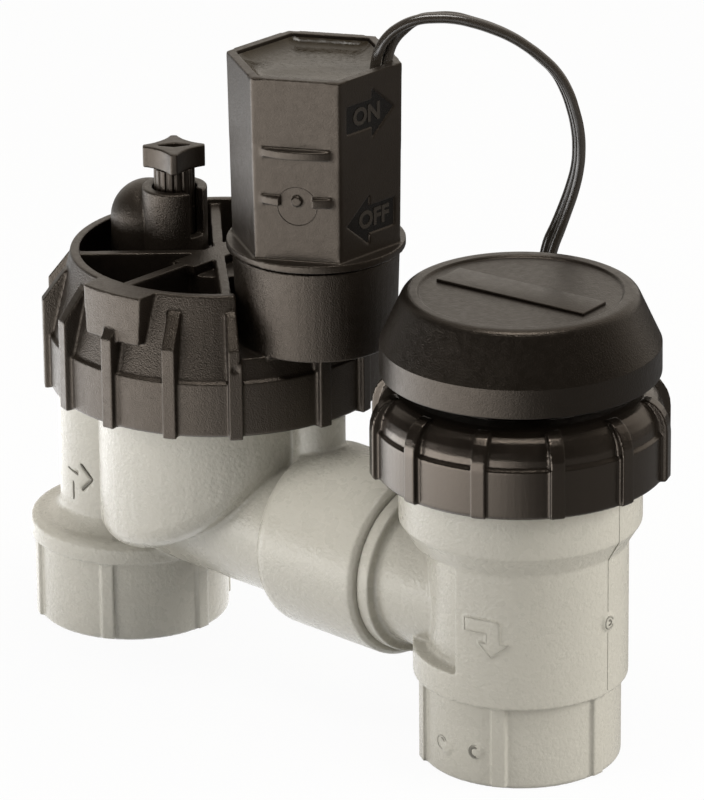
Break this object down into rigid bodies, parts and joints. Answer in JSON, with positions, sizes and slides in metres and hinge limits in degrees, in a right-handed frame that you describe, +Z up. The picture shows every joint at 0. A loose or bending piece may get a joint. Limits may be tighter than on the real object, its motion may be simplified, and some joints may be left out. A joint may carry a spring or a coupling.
{
  "type": "anti-siphon zone valve",
  "caption": "Anti-siphon irrigation zone valve: jar-top diaphragm valve with flow control and bleed solenoid, joined to a vacuum breaker.",
  "frame": {"origin": "centre of the inlet port's mouth, on the plane of both ports", "axes": "+X from the inlet axis to the outlet axis, +Z up out of the ports towards the solenoid, +Y completes the right-handed set"},
  "size_m": [0.1448, 0.0733, 0.1286],
  "materials": {
    "grey_pvc": "moulded, fine spark texture",
    "black_nylon": "glass-filled, fine texture",
    "epoxy": "cast, glossy",
    "white_plastic": "moulded",
    "rubber": "moulded",
    "steel": "bright",
    "copper": null,
    "lead_insulation": "extruded",
    "tie_plastic": "moulded"
  },
  "bodies": {
    "body": {"valve_body": "grey_pvc", "bonnet": "black_nylon", "vacuum_breaker_body": "grey_pvc", "vent_seal": "rubber", "vent_seat": "black_nylon", "retaining_nut": "black_nylon", "canopy": "black_nylon"},
    "diaphragm_set": {"diaphragm": "rubber", "seat_seal": "rubber", "diaphragm_plate": "black_nylon", "filter_screen": "black_nylon", "diaphragm_spring": "steel"},
    "flow_nut": {"stem_oring": "rubber"},
    "flow_control": {"flow_stem": "black_nylon", "flow_handle": "black_nylon"},
    "solenoid_ring": {"solenoid_oring": "rubber"},
    "solenoid": {"solenoid_housing": "black_nylon", "potting": "epoxy", "yoke": "steel", "coil_bobbin": "white_plastic", "coil_winding": "copper", "core_tube": "steel", "fixed_core": "steel", "lead_a_run": "lead_insulation", "lead_a_coil": "lead_insulation", "lead_b_run": "lead_insulation", "lead_b_coil": "lead_insulation", "lead_a_tip": "copper", "lead_b_tip": "copper", "lead_tie": "tie_plastic"},
    "plunger": {"plunger": "steel", "plunger_seal": "rubber", "plunger_spring": "steel"},
    "poppet": {"poppet": "white_plastic", "poppet_inlet_seal": "rubber", "poppet_vent_seal": "rubber"}
  },
  "joints": [
    {"name": "diaphragm_lift", "type": "slide", "parent": "body", "child": "diaphragm_set", "axis": [0, 0, 1], "range_m": [0, 0.0045], "stiffness_N_per_m": 300, "springref_m": -0.006, "deforming": ["diaphragm", "diaphragm_spring"]},
    {"name": "flow_feed", "type": "slide", "parent": "body", "child": "flow_nut", "axis": [0, 0, 1], "range_m": [-0.0032, 0]},
    {"name": "flow_turn", "type": "hinge", "parent": "flow_nut", "child": "flow_control", "pos_m": [0.0131, 0, 0.0874], "axis": [0, 0, 1], "range_deg": [-720, 0]},
    {"name": "solenoid_rise", "type": "slide", "parent": "body", "child": "solenoid_ring", "axis": [0, 0, 1], "range_m": [0, 0.0005]},
    {"name": "solenoid_turn", "type": "hinge", "parent": "solenoid_ring", "child": "solenoid", "pos_m": [0.049, 0, 0.084], "axis": [0, 0, 1], "range_deg": [0, 90]},
    {"name": "plunger_lift", "type": "slide", "parent": "solenoid", "child": "plunger", "axis": [0, 0, 1], "range_m": [0, 0.0025], "stiffness_N_per_m": 200, "springref_m": -0.004, "deforming": ["plunger_spring"]},
    {"name": "poppet_lift", "type": "slide", "parent": "body", "child": "poppet", "axis": [0, 0, 1], "range_m": [0, 0.006]}
  ],
  "couplings": [
    {"joint": "flow_turn", "follows": "flow_feed", "rad_per_m": 3927},
    {"joint": "solenoid_turn", "follows": "solenoid_rise", "rad_per_m": 3141.6}
  ]
}
